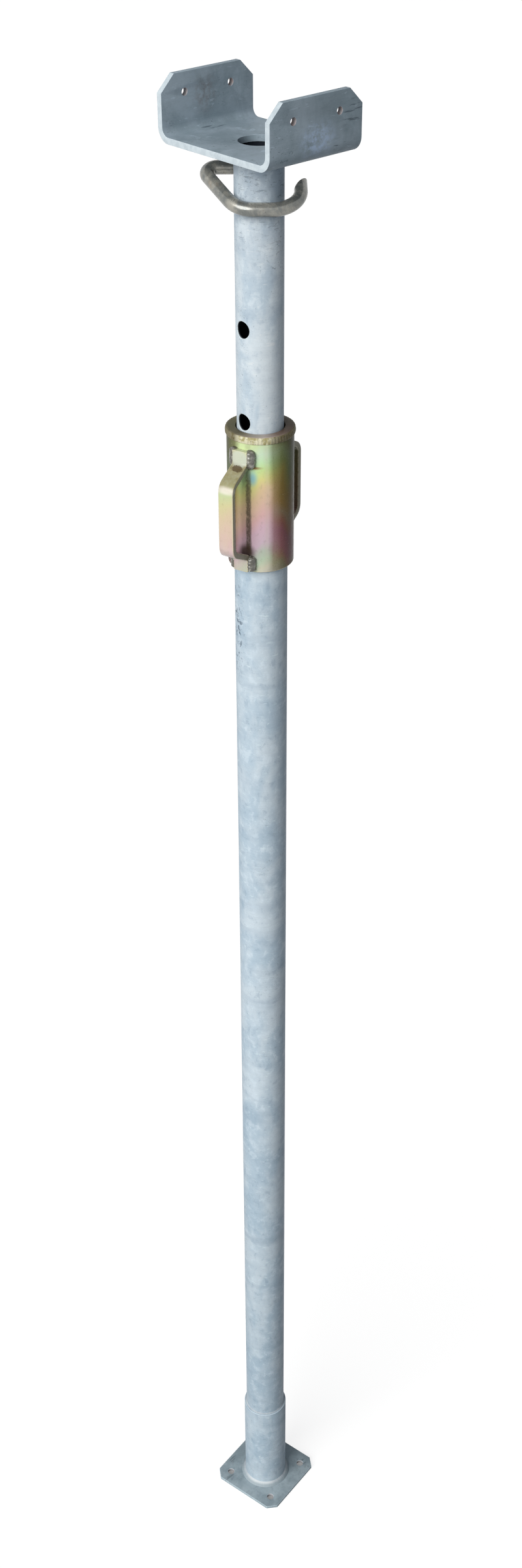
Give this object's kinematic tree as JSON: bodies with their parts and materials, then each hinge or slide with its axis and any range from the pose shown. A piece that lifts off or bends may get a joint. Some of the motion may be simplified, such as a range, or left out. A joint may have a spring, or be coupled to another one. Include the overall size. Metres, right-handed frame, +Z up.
{
  "type": "adjustable steel prop",
  "caption": "Telescopic steel shoring prop with a U head for a timber, a sleeved screw nut with two grip handles, a G-shaped pin and a square base plate.",
  "frame": {"origin": "centre of the underside of the base plate, on the tube axis", "axes": "+Z up along the tubes, +X along the channel of the head, +Y across the channel"},
  "size_m": [0.1372, 0.156, 2.082],
  "materials": {
    "galvanised": "hot-dip galvanised, matt and mottled",
    "bright_zinc": "bright galvanised, scratched",
    "head_zinc": "dark galvanised",
    "yellow_zinc": "yellow passivated zinc",
    "bare_steel": "dull round bar"
  },
  "bodies": {
    "outer": {"base_plate": "galvanised", "base_weld": "galvanised", "base_sleeve": "galvanised", "outer_tube": "galvanised"},
    "tube_carrier": {"head_weld": "head_zinc"},
    "inner": {"inner_tube": "bright_zinc", "head_bracket": "head_zinc"},
    "nut_carrier": {"nut_top_ring": "yellow_zinc"},
    "nut": {"nut_sleeve": "yellow_zinc", "nut_ring_weld": "yellow_zinc", "left_handle": "yellow_zinc", "right_handle": "yellow_zinc", "left_top_weld_front": "yellow_zinc", "left_top_weld_rear": "yellow_zinc", "left_foot_weld_front": "yellow_zinc", "left_foot_weld_rear": "yellow_zinc", "right_top_weld_front": "yellow_zinc", "right_top_weld_rear": "yellow_zinc", "right_foot_weld_front": "yellow_zinc", "right_foot_weld_rear": "yellow_zinc"},
    "hook": {"g_hook": "bare_steel"}
  },
  "joints": [
    {"name": "inner_slide", "type": "slide", "parent": "outer", "child": "tube_carrier", "axis": [0, 0, 1], "range_m": [0, 1.4055]},
    {"name": "inner_turn", "type": "hinge", "parent": "tube_carrier", "child": "inner", "pos_m": [0, 0, 2], "axis": [0, 0, 1], "continuous": true},
    {"name": "nut_travel", "type": "slide", "parent": "outer", "child": "nut_carrier", "axis": [0, 0, 1], "range_m": [0, 0.09]},
    {"name": "nut_turn", "type": "hinge", "parent": "nut_carrier", "child": "nut", "pos_m": [0, 0, 1.7], "axis": [0, 0, 1], "range_deg": [0, 4050]},
    {"name": "hook_slide", "type": "slide", "parent": "inner", "child": "hook", "axis": [0, 0, -1], "range_m": [0, 0.115]}
  ],
  "couplings": [
    {"joint": "nut_travel", "follows": "nut_turn", "m_per_rad": 0.0012732}
  ]
}
